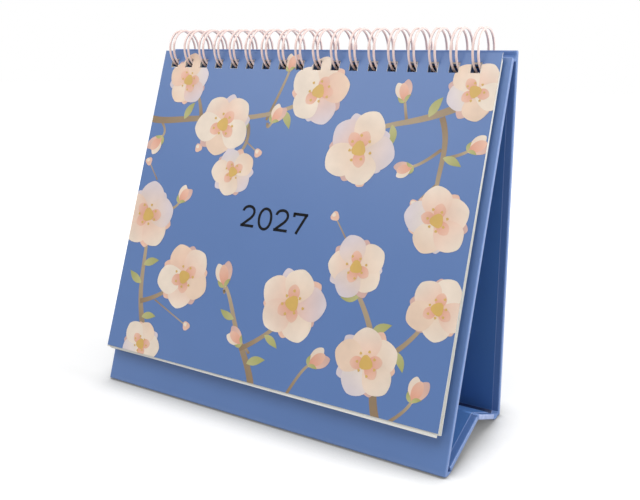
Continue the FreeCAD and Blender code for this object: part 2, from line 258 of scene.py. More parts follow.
def covered(name, node, body, place, length, highlight_and_wear, holes_from_top=None):
    """The paper round one board, its edges rounded and painted paler as wear and as highlight, open inside
    between the turn-ins.
    """
    bm = bmesh.new()
    highlight_and_wear_layer = bm.verts.layers.float.new("edge")
    bmesh.ops.create_cube(bm, size=1)
    bmesh.ops.scale(bm, vec=(2 * PANEL_HALF, COVERED, length), verts=bm.verts)
    bmesh.ops.translate(bm, vec=(0, COVERED / 2, length / 2), verts=bm.verts)
    bmesh.ops.bevel(bm, geom=bm.edges[:], offset=BOARD_EDGE_ROUND, segments=ROUND_STEPS, profile=0.5,
                    affect="EDGES", material=-1)
    for cut in (PANEL_HALF - HIGHLIGHT_AND_WEAR_SIDE, PANEL_HALF - TURN_IN):
        split(bm, (cut, 0, 0), (1, 0, 0))
        split(bm, (-cut, 0, 0), (1, 0, 0))
    for cut in (HIGHLIGHT_AND_WEAR_END, length - HIGHLIGHT_AND_WEAR_END):
        split(bm, (0, 0, cut), (0, 0, 1))
    # Paler towards every side and end: partly wear, partly painted highlight where the lamps catch the edges.
    for vert in bm.verts:
        within = min((PANEL_HALF - abs(vert.co.x)) / HIGHLIGHT_AND_WEAR_SIDE,
                     min(vert.co.z, length - vert.co.z) / HIGHLIGHT_AND_WEAR_END)
        vert[highlight_and_wear_layer] = max(0, 1 - within) ** 2 * highlight_and_wear
    open_end = min(TURN_IN, length / 2 - LEAST_WINDOW)
    for cut in (open_end, length - open_end):
        split(bm, (0, 0, cut), (0, 0, 1))
    window = [face for face in bm.faces if face.normal.y > 0.9
              and abs(face.calc_center_median().x) < PANEL_HALF - TURN_IN
              and open_end < face.calc_center_median().z < length - open_end]
    bmesh.ops.delete(bm, geom=window, context="FACES")
    if holes_from_top:
        across = place.col[0].x
        punch(bm, [across * x for x in row], length - holes_from_top)
    piece = made(name, bm, place, body, [wrap_blue], [node])
    thicken(piece, WRAP, -1)
    piece.modifiers.new("faces", "WEIGHTED_NORMAL").keep_sharp = True
    return piece


front_foot, front_top = ends("front_wrap", (-1, 0), (0, 1))
back_foot, back_top = ends("back_wrap", (1, 0), (0, 1))
crease = Vector(next(j["pos_m"] for j in frame["joints"] if j["name"] == "crease_fold"))
fore_foot = ends("base_front_wrap", (0, -1), (0, -1))[0]
rear_foot = ends("base_rear_wrap", (0, -1), (0, -1))[0]
rear_end = ends("base_rear_wrap", (-1, 0), (-1, 0))[0]

front_place = upright(front_foot, front_top)
back_place = upright(back_foot, back_top, -1)
fore_place, rear_place = upright(fore_foot, crease, -1), upright(rear_foot, rear_end)
front_length, back_length = (front_top - front_foot).length, (back_top - back_foot).length
fore_length, rear_length = (crease - fore_foot).length, (rear_end - rear_foot).length
# Each piece's share of the paler edge tone, set by how brightly its edges catch the light: partly wear, partly
# painted highlight.
covered("front_panel_wrap", "front_wrap", "front_panel", front_place, front_length, highlight_and_wear=0.2,
        holes_from_top=FRONT_HOLES_FROM_TOP)
covered("back_panel_wrap", "back_wrap", "back_panel", back_place, back_length, highlight_and_wear=0.0,
        holes_from_top=BACK_HOLES_FROM_TOP)
covered("base_front_strip_wrap", "base_front_wrap", "base_front", fore_place, fore_length, highlight_and_wear=0.15)
covered("base_rear_strip_wrap", "base_rear_wrap", "base_rear", rear_place, rear_length, highlight_and_wear=0.9)

# ---------------------------------------------------------------- linings
# Plain blue paper, 0.15 mm, glued over the inner faces and the turn-ins, 2.7 mm short of the side
# edges and up to the folds. Its guillotined edge shows a pale line of bare paper.
LINING_BLUE = "#4b7ab8"
LINING_SHADE = "#4672b0"
LINING_CUT = "#8a9fcb"
# Real paper has a tooth of about 0.1 mm: it is drawn coarser here, so that it shows.
LINING_TOOTH, TOOTH_RELIEF = 0.5 * MM, 0.015 * MM
LINING = 0.15 * MM
LINING_HALF = 79.3 * MM
CUT_WIDTH = 0.14 * MM
# How far the linings stop from each board's foot and from its top.
PANEL_LINING_ENDS = (0.6 * MM, 2.5 * MM)
STRIP_LINING_ENDS = (0.6 * MM, 0)


def lined(name, tones):
    """Lining paper with a pale cut edge at a set distance from the middle, and wrap paper beyond it."""
    material, shader, place = surface(name)
    across = add(material, "ShaderNodeSeparateXYZ", {0: place}).outputs["X"]
    across = add(material, "ShaderNodeMath", {0: across}, operation="ABSOLUTE").outputs[0]
    beyond = add(material, "ShaderNodeMath", {0: across, 1: LINING_HALF}, operation="GREATER_THAN").outputs[0]
    tone = add(material, "ShaderNodeMix", {FACTOR: beyond, FIRST: mottled(material, place, tones),
                                           SECOND: hue(WRAP_SHADE)}, data_type="RGBA").outputs[MIXED]
    away = add(material, "ShaderNodeMath", {0: across, 1: LINING_HALF}, operation="SUBTRACT").outputs[0]
    away = add(material, "ShaderNodeMath", {0: away}, operation="ABSOLUTE").outputs[0]
    line = add(material, "ShaderNodeMapRange", {"Value": away, "From Min": 1.3 * CUT_WIDTH,
                                                "From Max": 0.7 * CUT_WIDTH}).outputs[0]
    tone = add(material, "ShaderNodeMix", {FACTOR: line, FIRST: tone, SECOND: hue(LINING_CUT)},
               data_type="RGBA").outputs[MIXED]
    tooth = add(material, "ShaderNodeTexNoise", {"Vector": place, "Scale": 1 / LINING_TOOTH, "Detail": 4,
                                                 "Roughness": 0.6}).outputs["Fac"]
    bump = add(material, "ShaderNodeBump", {"Height": tooth, "Distance": TOOTH_RELIEF}).outputs[0]
    feed(material, shader, {"Base Color": tone, "Normal": bump, "Roughness": 0.55, "Coat Weight": 0.12,
                            "Coat Roughness": 0.4})
    return material


# Lining paper: deeper blue, uncoated.
lining_blue = lined("blue_lining_paper", (LINING_BLUE, LINING_SHADE))


def glued(name, node, body, place, length, margins, holes_from_top=None):
    """A sheet of lining on the inner face of a covered board."""
    bm = bmesh.new()
    bmesh.ops.create_grid(bm, x_segments=1, y_segments=1, size=0.5)
    span = length - sum(margins)
    for vert in bm.verts:
        vert.co = Vector((-vert.co.x * 2 * LINING_HALF, COVERED, margins[0] + (vert.co.y + 0.5) * span))
    bmesh.ops.recalc_face_normals(bm, faces=bm.faces)
    bmesh.ops.reverse_faces(bm, faces=[face for face in bm.faces if face.normal.y < 0])
    if holes_from_top:
        punch(bm, [place.col[0].x * x for x in row], length - holes_from_top)
    sheet = made(name, bm, place, body, [lining_blue], [node], smooth=False)
    return thicken(sheet, LINING, 1)


glued("front_panel_lining", "front_lining", "front_panel", front_place, front_length,
      PANEL_LINING_ENDS, FRONT_HOLES_FROM_TOP)
glued("back_panel_lining", "back_lining", "back_panel", back_place, back_length,
      PANEL_LINING_ENDS, BACK_HOLES_FROM_TOP)
glued("base_front_strip_lining", "base_front_lining", "base_front", fore_place, fore_length, STRIP_LINING_ENDS)
glued("base_rear_strip_lining", "base_rear_lining", "base_rear", rear_place, rear_length, STRIP_LINING_ENDS)

# ---------------------------------------------------------------- paper hinges
# Wrap and lining pressed together where two boards meet: soft strips that bend as the stand folds.
# They run under the front foot, over the ridge of the base, down the groove at the top and along the
# rear foot, where a doubled fold on the back panel takes the end of the base.
HINGE = 0.25 * MM
RIDGE_PAPER = 2.25 * MM
REAR_FOOT_PAPER = 0.7 * MM
# The groove paper's tones: far darker than the lining, as painted shade in the corner behind the base.
GROOVE_PAINTED_SHADE = "#1a3264"
GROOVE_PAINTED_SHADE_DEEP = "#162c58"
HINGE_ROWS, HINGE_COLUMNS = 16, 24
HINGE_HALF = PANEL_HALF - 0.1 * MM


def bezier(points, t):
    """A point on the smooth line that a list of control points draws."""
    while len(points) > 1:
        points = [a.lerp(b, t) for a, b in zip(points, points[1:])]
    return points[0]


def folded(name, profile, thickness, offset, node, materials, bodies):
    """A strip of paper across the stand along a profile, on one body, or on none where it joins two."""
    bm = bmesh.new()
    bmesh.ops.create_grid(bm, x_segments=HINGE_COLUMNS, y_segments=HINGE_ROWS, size=0.5)
    for vert in bm.verts:
        spot = profile(vert.co.y + 0.5)
        vert.co = Vector((vert.co.x * 2 * HINGE_HALF, spot.y, spot.z))
    bmesh.ops.recalc_face_normals(bm, faces=bm.faces)
    if sum(face.normal.z for face in bm.faces) < 0:
        bmesh.ops.reverse_faces(bm, faces=bm.faces)
    body = bodies[0] if len(bodies) == 1 else None
    piece = made(name, bm, Matrix.Identity(4), body, materials, [node])
    if not body:
        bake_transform(piece)
    return thicken(piece, thickness, offset, len(materials) - 1, len(materials) - 1)


def through(*spots):
    """A smooth profile from control points in mm, run and height."""
    line = [Vector((0, run * MM, height * MM)) for run, height in spots]
    return lambda t: bezier(line, t)


fore, rear = fore_foot.y / MM, rear_foot.y / MM
folded("front_foot_paper", through((fore - 4.6, 1.1), (fore - 3.8, -0.2), (fore - 1.4, 0.12),
                                   (fore + 0.1, 0.1), (fore + 1.4, 0.8)),
       HINGE, 0, "front_foot_hinge", [wrap_blue], ("front_panel", "base_front"))

fore_rise = math.atan2(crease.z - fore_foot.z, crease.y - fore_foot.y)
rear_rise = math.atan2(rear_end.z - rear_foot.z, rear_foot.y - rear_end.y)


def ridge(t):
    """The rounded ridge over the crease, from the front strip's lining to the rear one's."""
    turn = -fore_rise + (fore_rise + rear_rise) * t
    return crease + Vector((0, math.sin(turn), math.cos(turn))) * (COVERED + LINING)


folded("crease_paper", ridge, RIDGE_PAPER, -1, "crease_hinge", [lining_blue],
       ("base_front", "base_rear"))

# Groove paper: the same lining pressed into the corner, printed dark as painted shade for the deep corner.
groove_painted_shade = lined("groove_paper_painted_shade", (GROOVE_PAINTED_SHADE, GROOVE_PAINTED_SHADE_DEEP))
inner_foot = (back_foot.y - COVERED) / MM
folded("rear_foot_paper", through((inner_foot + 0.02, 2.1), (inner_foot - 0.2, 0.2), (rear + 3.4, 0.35),
                                  (rear + 1.6, 0.4), (rear + 0.5, 1.3)),
       REAR_FOOT_PAPER, 0, "rear_foot_hinge", [groove_painted_shade, wrap_blue], ("back_panel",))

lip = front_place @ Vector((0, COVERED, front_length))
back_lip = back_place @ Vector((0, COVERED, back_length))
run, height = lip.y / MM, lip.z / MM
back_run, back_height = back_lip.y / MM, back_lip.z / MM
folded("spine_paper", through((run - 0.4, height - 0.1), (run + 0.5, height - 0.6), (run + 1.3, height - 1.8),
                              (back_run + 0.1, height - 0.6), (back_run + 0.3, back_height - 0.8)),
       HINGE, 0, "spine_hinge", [wrap_blue], ("front_panel", "back_panel"))

# ---------------------------------------------------------------- month leaves
# Thirteen leaves of uncoated white paper, punched and hung on the wire behind the cover.
# They lie close at the head and fan a little at the foot, none quite square with the next.
PAPER = "#f2f1ec"
PAPER_SHADE = "#e8e6df"
LEAF = 0.105 * MM
HOLES_FROM_HEAD = 5.8 * MM
HEAD_CUT = 2.4 * MM
LEAF_DROP, LEAF_TUCK = 1.0 * MM, 0.46 * MM
# Drawn coarser than the real tooth, so that it shows.
LEAF_TOOTH, LEAF_RELIEF = 0.25 * MM, 0.01 * MM
LEAF_ROWS = 16
FAN_CURVE = 1.5
SLACK = 0.08 * MM
# Each bundle: its leaves, its depth in the block at the head and at the foot, how far it hangs to
# the right, its turn in degrees and how much shorter it hangs. Lengths in mm.
GROUPS = (
    (5, (0.05, 0.65), (0.24, 0.85), -0.45, 0.32, 0.0),
    (3, (0.65, 1.0), (1.15, 1.6), -0.7, -0.1, 0.25),
    (5, (1.0, 1.5), (1.85, 2.6), -0.7, -0.2, 0.1),
)
chance = random.Random(11)

# Leaf paper: matt white with a faint tooth.
paper = grained("leaf_paper", (PAPER_SHADE, PAPER), LEAF_TOOTH, LEAF_RELIEF, {"Roughness": 0.8})


def hung(width, length, left, bend):
    """One punched leaf, bent out of its plane by bend(share of the way down)."""
    bm = bmesh.new()
    bmesh.ops.create_grid(bm, x_segments=1, y_segments=LEAF_ROWS, size=0.5)
    for vert in bm.verts:
        vert.co = Vector((left + (vert.co.x + 0.5) * width, 0, (vert.co.y + 0.5) * length))
    bmesh.ops.recalc_face_normals(bm, faces=bm.faces)
    if sum(face.normal.y for face in bm.faces) > 0:
        bmesh.ops.reverse_faces(bm, faces=bm.faces)
    punch(bm, row, length - HOLES_FROM_HEAD)
    for vert in bm.verts:
        vert.co.y += bend(max(0, 1 - vert.co.z / length))
    return bm


def lowered(foot, top):
    """A leaf's foot let down a little, and a touch further in."""
    foot = foot + (foot - top).normalized() * LEAF_DROP
    return foot + Vector((0, LEAF_TUCK, 0))


page_foot, page_top = ends("page_block", (-1, 0), (0, 1))
page_foot = lowered(page_foot, page_top)
page_low, page_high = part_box("page_block")
page_place = upright(page_foot, page_top)
page_length = (page_top - page_foot).length
for group, (count, head, foot, aside, turn, short) in enumerate(GROUPS):
    for number in range(count):
        share = (number + 0.5) / count
        near, far = head[0] + (head[1] - head[0]) * share, foot[0] + (foot[1] - foot[0]) * share

        def bend(down, near=near, far=far):
            return (near + (far - near) * down ** FAN_CURVE) * MM

        bm = hung(page_high.x - page_low.x, page_length, page_low.x, bend)
        split(bm, (0, 0, page_length - HEAD_CUT), (0, 0, 1), outer=True)
        slack = chance.uniform(-1, 1) * SLACK
        hang = Matrix.Translation((aside * MM + slack, 0, page_length - HOLES_FROM_HEAD + short * MM))
        hang = hang @ Matrix.Rotation(math.radians(turn), 4, "Y")
        hang = hang @ Matrix.Translation((0, 0, HOLES_FROM_HEAD - page_length))
        bmesh.ops.transform(bm, matrix=hang, verts=bm.verts)
        leaf = made(f"month_leaf_{group + 1}_{number + 1}", bm, page_place, "front_panel",
                    [paper], ["page_block"] if (group, number) == (0, 0) else (), smooth=False)
        thicken(leaf, LEAF, 0)
        if (group, number) == (0, 0):
            first_leaf, first_bend = page_place @ hang, bend

# ---------------------------------------------------------------- cover leaf
# A 0.3 mm card, printed blue on its face and film-laminated, white inside and on its back.
# It hangs in front of the month leaves on the same wire.
COVER_BLUE = "#5679b3"
COVER_SHADE = "#5275ae"
CARD_BACK, CARD_FIBRE = "#dddbd4", "#d1cfc7"
CARD = 0.3 * MM
FIBRE_LENGTH, FIBRE_RELIEF = 0.45 * MM, 0.015 * MM

# Cover print: flat blue under satin film.
cover_blue = coloured("cover_blue_print", (COVER_BLUE, COVER_SHADE), 0.36)
# Card back: uncoated, a little greyer than the leaves, with short fibres.
card_back = grained("white_card_back", (CARD_FIBRE, CARD_BACK), FIBRE_LENGTH, FIBRE_RELIEF, {"Roughness": 0.75},
                    rough=0.6)
cover_foot, cover_top = ends("cover_leaf", (-1, 0), (0, 1))
cover_foot = lowered(cover_foot, cover_top)
cover_low, cover_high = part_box("cover_leaf")
cover_place = upright(cover_foot, cover_top)
cover_width, cover_length = cover_high.x - cover_low.x, (cover_top - cover_foot).length
cover = made("cover_card", hung(cover_width, cover_length, cover_low.x, lambda down: 0), cover_place,
             "cover", [cover_blue, card_back, paper], ["cover_leaf"], smooth=False)
thicken(cover, CARD, -1, rim=2, back=1)

# ---------------------------------------------------------------- cover artwork
# Printed sprays of five-petalled blossom with buds, leaves and berries that run off the cover's
# edges, in flat tones under the film, and the year in plain thin numerals.
CREAM, WARM, PEACH, CORAL = "#f3e2d0", "#efd2ba", "#eec2ab", "#e39b80"
ROSE, LILAC, OCHRE = "#d8b1a7", "#ddd2d8", "#d9b15e"
STEM, PALE_STEM, OLIVE, MOSS = "#8c7355", "#b9a588", "#c0bd82", "#a3a45f"
INK, WORN_INK = "#0b0c10", "#15161a"
# Each printed layer lies this far in front of the one below, so that they don't fight.
LAYER = 0.014 * MM
GOUACHE = 9 * MM
INK_GRAIN, INK_RELIEF = 0.4 * MM, 0.01 * MM
# On the printed faces, lengths are in mm from the sheet's lower left corner, and angles in degrees.
STROKE = 1.15
BERRY = 1.9
PETALS = 5
PETAL_TURN = 360 / PETALS


def inked(name, cloud, strength, finish, within=(0, 1), film=False):
    """Print in each shape's own tone, between two strengths in clouds of this size in metres."""
    material, shader, place = surface(name)
    clouds = add(material, "ShaderNodeTexNoise", {"Vector": place, "Scale": 1 / cloud, "Detail": 3})
    wash = add(material, "ShaderNodeMapRange", {"Value": clouds.outputs["Fac"], "From Min": within[0],
                                                "From Max": within[1], "To Min": strength[0],
                                                "To Max": strength[1]}).outputs[0]
    tone = add(material, "ShaderNodeAttribute", attribute_name="tone").outputs["Color"]
    tone = add(material, "ShaderNodeVectorMath", {0: tone, "Scale": wash}, operation="SCALE").outputs[0]
    feed(material, shader, {"Base Color": tone, **finish})
    if film:
        feed(material, shader, {"Normal": dimpled(material, place)})
    return material


# Printed tones: softly uneven like gouache, under the same film as the blue.
artwork = inked("cover_artwork_print", GOUACHE, (0.9, 1.03),
                {"Roughness": 0.42, "Coat Weight": 0.08, "Coat Roughness": 0.32}, (0.3, 0.7), film=True)

print_bm = bmesh.new()
shades = print_bm.verts.layers.float_color.new("tone")


def blade(line, breadth, near, far, layer, steps=10, ink=(print_bm, shades)):
    """A flat shape along a smooth line of points, in mm.

    breadth(t) is its half width, and its tone goes from near to far.
    """
    line = [Vector((*spot, 0)) for spot in line]
    grid = bmesh.ops.create_grid(ink[0], x_segments=steps, y_segments=2, size=0.5)
    near, far = Vector(hue(near)), Vector(hue(far))
    for vert in grid["verts"]:
        t, side = 0.5 - 0.5 * math.cos(math.pi * (vert.co.x + 0.5)), 2 * vert.co.y
        ahead = (bezier(line, min(t + 0.01, 1)) - bezier(line, max(t - 0.01, 0))).normalized()
        spot = bezier(line, t) + Vector((-ahead.y, ahead.x, 0)) * side * breadth(t)
        vert.co = Vector((cover_low.x + spot.x * MM, -layer * LAYER, spot.y * MM))
        vert[ink[1]] = near.lerp(far, t)
    bmesh.ops.remove_doubles(ink[0], verts=grid["verts"], dist=0.001 * MM)


def petal(spot, turn, length, width, near, far, layer, droop=0.0):
    """A broad rounded petal from a spot, pointing at an angle in degrees."""
    x, y = spot
    ahead = Vector((math.cos(math.radians(turn)), math.sin(math.radians(turn))))
    aside = Vector((-ahead.y, ahead.x)) * droop
    line = [(x, y), (x + ahead.x * length / 2, y + ahead.y * length / 2),
            (x + ahead.x * length + aside.x, y + ahead.y * length + aside.y)]

    def breadth(t):
        return width / 2 * (0.16 * (1 - t) + math.sin(math.pi * t ** 1.35) ** 0.62)

    blade(line, breadth, near, far, layer, 14)


def leaf_shape(spot, turn, length, layer=3):
    """A pointed leaflet, bowed to one side."""
    x, y = spot
    ahead = Vector((math.cos(math.radians(turn)), math.sin(math.radians(turn))))
    line = [(x, y), (x + ahead.x * length / 2 - ahead.y, y + ahead.y * length / 2 + ahead.x),
            (x + ahead.x * length, y + ahead.y * length)]
    blade(line, lambda t: length * 0.2 * math.sin(math.pi * t ** 0.85), OLIVE, MOSS, layer)


def spot_of(spot, radius, colour, layer):
    """A round dot, a little out of true."""
    ring = bmesh.ops.create_circle(print_bm, cap_ends=True, segments=14, radius=radius)
    wobble = art.uniform(0, 6)
    for vert in ring["verts"]:
        push = 1 + 0.12 * math.sin(3 * math.atan2(vert.co.y, vert.co.x) + wobble)
        vert.co = Vector((cover_low.x + (spot[0] + vert.co.x * push) * MM, -layer * LAYER,
                          (spot[1] + vert.co.y * push) * MM))
        vert[shades] = hue(colour)


def blossom(spot, reach, turn):
    """A blossom seen from the front: five broad petals over five narrow ones, with a gold eye."""
    for number in range(PETALS):
        angle = turn + (number + 0.5) * PETAL_TURN + art.uniform(-7, 7)
        petal(spot, angle, reach * art.uniform(0.84, 0.98), reach * 0.52, art.choice((ROSE, PEACH)),
              art.choice((ROSE, LILAC, PEACH)), 4 + number % 2)
    for number in range(PETALS):
        angle = turn + number * PETAL_TURN + art.uniform(-6, 6)
        petal(spot, angle, reach * art.uniform(0.92, 1.06), reach * 0.86, art.choice((WARM, PEACH, CREAM)),
              art.choice((CREAM, WARM, CREAM, LILAC)), 6 + number % 3, art.uniform(-1, 1))
    for number in range(3):
        angle = turn + 2 * number * PETAL_TURN + art.uniform(-20, 20)
        petal(spot, angle, reach * 0.5, reach * 0.34, CORAL, PEACH, 9 + number)
    spot_of(spot, reach * 0.2, OCHRE, 12)
    for number in range(7):
        angle = math.radians(turn + 51 * number)
        far = reach * art.uniform(0.26, 0.36)
        spot_of((spot[0] + math.cos(angle) * far, spot[1] + math.sin(angle) * far), reach * 0.04, OCHRE, 13)


def bud(foot, spot, turn, length):
    """A closed bud on a thin stem: three wrapped petals in a green cup."""
    turned = math.radians(turn)
    neck = (spot[0] - math.cos(turned) * 4, spot[1] - math.sin(turned) * 4)
    twig([foot, neck, spot], 1.3, 1.1, 0.5)
    petal(spot, turn - 14, length, length * 0.46, PEACH, ROSE, 4)
    petal(spot, turn + 15, length * 0.95, length * 0.46, WARM, CREAM, 5)
    petal(spot, turn, length * 0.86, length * 0.4, CORAL, PEACH, 6)
    for side, layer in ((-48, 7), (44, 8)):
        leaf_shape(spot, turn + side, length * 0.42, layer=layer)


def twig(line, start, end, layer):
    """A stem that tapers from one width to another, paler at its end."""
    blade(line, lambda t: (start + (end - start) * t) / 2, STEM, PALE_STEM, layer, 24)


def berry(spot, foot):
    """A small round berry with a light spot, on a thread of a stem."""
    twig([foot, spot], 0.7, 0.5, 0.5)
    spot_of(spot, BERRY, PEACH, 3)
    spot_of((spot[0] - BERRY * 0.3, spot[1] + BERRY * 0.3), BERRY * 0.45, CREAM, 4)


art = random.Random(5)
SPRAYS = (
    # the control points of each twig's line, and the widths at its two ends
    [[(-2, 104), (14, 100), (30, 112), (44, 100), (70, 108), (84, 117)], 3.2, 1.5],
    [[(28, 106), (26, 114), (20, 121)], 2.0, 1.2],
    [[(54, 104), (58, 96), (50, 88)], 1.8, 1.2],
    [[(162, 118), (146, 120), (138, 104), (122, 112), (110, 102)], 3.6, 1.5],
    [[(141, 111), (148, 98), (140, 86), (146, 76)], 2.4, 1.3],
    [[(22, -2), (22, 12), (8, 20), (14, 38), (10, 54)], 3.6, 1.5],
    [[(14, 22), (26, 26), (34, 34)], 2.2, 1.3],
    [[(80, -2), (76, 12), (66, 14), (66, 28), (58, 36)], 3.2, 1.5],
    [[(71, 12), (82, 18), (92, 30)], 2.1, 1.3],
    [[(136, -2), (128, 14), (136, 26), (122, 38), (114, 50)], 3.4, 1.5],
    [[(130, 18), (144, 26), (150, 40)], 2.2, 1.3],
)
for line, start, end in SPRAYS:
    # Side twigs lie over the thick ones.
    twig(line, start, end, 1 if start > 3 else 2)
BLOSSOMS = (
    # the place of its eye, and its reach
    (17, 122, 12), (41, 103, 14.5), (86, 119, 14), (51, 83, 11), (109, 97, 15), (146, 73, 13),
    (152, 121, 11.5), (9, 60, 15), (36, 36, 14), (92, 34, 15), (117, 52, 12.5), (19, 4, 11),
    (128, 18, 13.5), (152, 42, 12),
)
for number, (x, y, reach) in enumerate(BLOSSOMS):
    blossom((x, y), reach, 17 + 31 * number)
BUDS = (
    # where its stem starts, where the bud starts, its turn and its length
    ((64, 105), (66, 105), 60, 9), ((4, 104), (8, 96), 230, 10), ((127, 109), (125, 116), 105, 9),
    ((143, 99), (133, 92), 200, 8), ((76, 11), (72, 14), 150, 9), ((96, -2), (104, 12), 40, 10),
    ((58, 34), (58, 35), 105, 11), ((12, 60), (25, 67), 60, 9), ((139, -2), (148, 8), 70, 10),
    ((63, 106), (70, 127), 80, 8), ((145, 96), (153, 99), 30, 9),
)
for foot, spot, turn, length in BUDS:
    bud(foot, spot, turn, length)
LEAFLETS = (
    # on which twig, how far along it, its turn and its length
    (0, 0.26, 60, 9), (0, 0.66, 250, 8), (0, 0.84, 300, 9), (3, 0.78, 280, 8), (3, 0.5, 60, 9),
    (4, 0.4, 340, 8), (5, 0.75, 20, 9), (5, 0.62, 150, 9), (5, 0.35, 10, 8), (7, 0.2, 20, 9),
    (7, 0.66, 160, 8), (9, 0.56, 30, 9), (9, 0.82, 190, 8), (10, 0.35, 300, 8), (8, 0.5, 330, 8),
)
for which, share, turn, length in LEAFLETS:
    spot = bezier([Vector(point) for point in SPRAYS[which][0]], share)
    leaf_shape((spot.x, spot.y), turn, length)
BERRIES = (
    # its place, and where its stem starts
    ((62, 92), (54, 97)), ((30, 92), (34, 104)), ((136, 78), (143, 86)), ((104, 70), (112, 60)),
    ((42, 16), (22, 24)), ((3, 84), (10, 76)), ((112, 84), (108, 92)),
)
for spot, foot in BERRIES:
    berry(spot, foot)

# Each numeral is drawn in strokes, and each stroke is a smooth line of points from its own corner.
TWO = ([(0.4, 6.5), (0.7, 9.3), (6.1, 9.5), (5.9, 6.1)], [(5.9, 6.15), (5.8, 4.0), (2.6, 2.6), (0.5, 0.3)],
       [(0.0, 0.55), (6.6, 0.55)])
NOUGHT = ([(0.5, 4.2), (0.5, 9.9), (6.4, 9.9), (6.4, 4.2)],
          [(6.4, 4.25), (6.4, -1.4), (0.5, -1.4), (0.5, 4.25)])
SEVEN = ([(0.4, 7.9), (6.9, 7.9)], [(6.5, 8.2), (2.6, 0.0)], [(0.6, 8.4), (0.6, 6.6)])
YEAR_LEFT, YEAR_FOOT, NUMERAL_STEP = 60.0, 61.0, 8.3
year_bm = bmesh.new()
year = (year_bm, year_bm.verts.layers.float_color.new("tone"))
for number, strokes in enumerate((TWO, NOUGHT, TWO, SEVEN)):
    left = YEAR_LEFT + NUMERAL_STEP * number
    for stroke in strokes:
        blade([(left + x, YEAR_FOOT + y) for x, y in stroke], lambda t: STROKE / 2, INK, INK, 3, 16, year)

# The sprays are cut off at the cover's edges and punched with it.
for spot, normal in (((cover_low.x, 0, 0), (-1, 0, 0)), ((cover_high.x, 0, 0), (1, 0, 0)),
                     ((0, 0, 0), (0, 0, -1)), ((0, 0, cover_length), (0, 0, 1))):
    split(print_bm, spot, normal, outer=True)
punch(print_bm, row, cover_length - HOLES_FROM_HEAD)

# Numeral ink: black, screen printed over the film, so duller than it.
black_ink = grained("black_screen_ink", (WORN_INK, INK), INK_GRAIN, INK_RELIEF,
                    {"Roughness": 0.7, "Specular IOR Level": 0.15}, detail=3)


def faced(bm):
    """Turn every face of a print to the front."""
    bmesh.ops.recalc_face_normals(bm, faces=bm.faces)
    bmesh.ops.reverse_faces(bm, faces=[face for face in bm.faces if face.normal.y > 0])
    return bm


made("cover_artwork", faced(print_bm), cover_place, "cover", [artwork])
made("year_numerals", faced(year_bm), cover_place, "cover", [black_ink])

# ---------------------------------------------------------------- month table
# The first month leaf, seen when the cover is turned over: a plain ruled table of day numbers under
# a band of flat blue, printed in thin ink on the uncoated paper.
BAND, RULE = "#7d95c4", "#9fb0cf"
TABLE_LEFT, TABLE_FOOT, CELL_WIDTH, CELL_HEIGHT = 9.0, 9.0, 20.2, 17.0
COLUMNS, WEEKS, FIRST_DAY, DAYS = 7, 5, 4, 31
DIGIT = 4.2
RULE_WIDTH, BAND_HEIGHT, BAND_RISE = 0.24, 8.0, 6.0
DIGIT_INSET, DIGIT_DROP = 2.5, 5.5
TABLE_GRAIN = 0.3 * MM

# Table ink: thin flat print that takes the paper's matt surface.
table_ink = inked("month_table_print", TABLE_GRAIN, (0.9, 1.06), {"Roughness": 0.75})

table_bm = bmesh.new()
table = (table_bm, table_bm.verts.layers.float_color.new("tone"))
right = TABLE_LEFT + COLUMNS * CELL_WIDTH
top = TABLE_FOOT + WEEKS * CELL_HEIGHT
for column in range(COLUMNS + 1):
    x = TABLE_LEFT + column * CELL_WIDTH
    blade([(x, TABLE_FOOT), (x, top)], lambda t: RULE_WIDTH / 2, RULE, RULE, 1, 16, table)
for week in range(WEEKS + 1):
    y = TABLE_FOOT + week * CELL_HEIGHT
    blade([(TABLE_LEFT, y), (right, y)], lambda t: RULE_WIDTH / 2, RULE, RULE, 2, 2, table)
blade([(TABLE_LEFT, top + BAND_RISE), (right, top + BAND_RISE)], lambda t: BAND_HEIGHT / 2, BAND, BAND, 1, 2,
      table)
for day in range(1, DAYS + 1):
    cell = FIRST_DAY + day - 1
    week = WEEKS - 1 - cell // COLUMNS % WEEKS
    numeral = bpy.data.curves.new("numeral", "FONT")
    numeral.body, numeral.size, numeral.align_x = str(day), DIGIT * MM, "RIGHT"
    drawn = bpy.data.objects.new("numeral", numeral)
    known = len(table_bm.verts)
    table_bm.from_mesh(drawn.to_mesh())
    drawn.to_mesh_clear()
    bpy.data.objects.remove(drawn)
    bpy.data.curves.remove(numeral)
    table_bm.verts.ensure_lookup_table()
    corner = ((TABLE_LEFT + (cell % COLUMNS + 1) * CELL_WIDTH - DIGIT_INSET) * MM,
              (TABLE_FOOT + (week + 1) * CELL_HEIGHT - DIGIT_DROP) * MM)
    for vert in table_bm.verts[known:]:
        vert.co = Vector((cover_low.x + corner[0] + vert.co.x, -2 * LAYER, corner[1] + vert.co.y))
        vert[table[1]] = hue(BAND if cell % COLUMNS == COLUMNS - 1 else INK)
for vert in table_bm.verts:
    vert.co.y += first_bend(1 - vert.co.z / page_length) - LEAF / 2
made("month_table", faced(table_bm), first_leaf, "front_panel", [table_ink])

# ---------------------------------------------------------------- twin-loop wire
# One length of 1 mm steel wire with a pale pink nylon coat, bent into eighteen twin loops and
# closed round through the holes, with its seam behind the stand.
COAT, COAT_SHADE = "#ffede7", "#f7cfc5"
COAT_LUMPS, LUMP_RELIEF = 2.2 * MM, 0.02 * MM
GAUGE = 0.96 * MM
# The ring to the middle of the wire, and each wire of a twin loop from the middle of its hole.
RING = 8.26 * MM
TWIN = 1.1 * MM
# Where the seam lies round the ring, from the back over the top, and the gap left in it.
SEAM = math.radians(325)
SEAM_GAP = 0.5 * MM
ARC_STEPS, TURN_STEPS, ROUNDNESS = 44, 8, 3

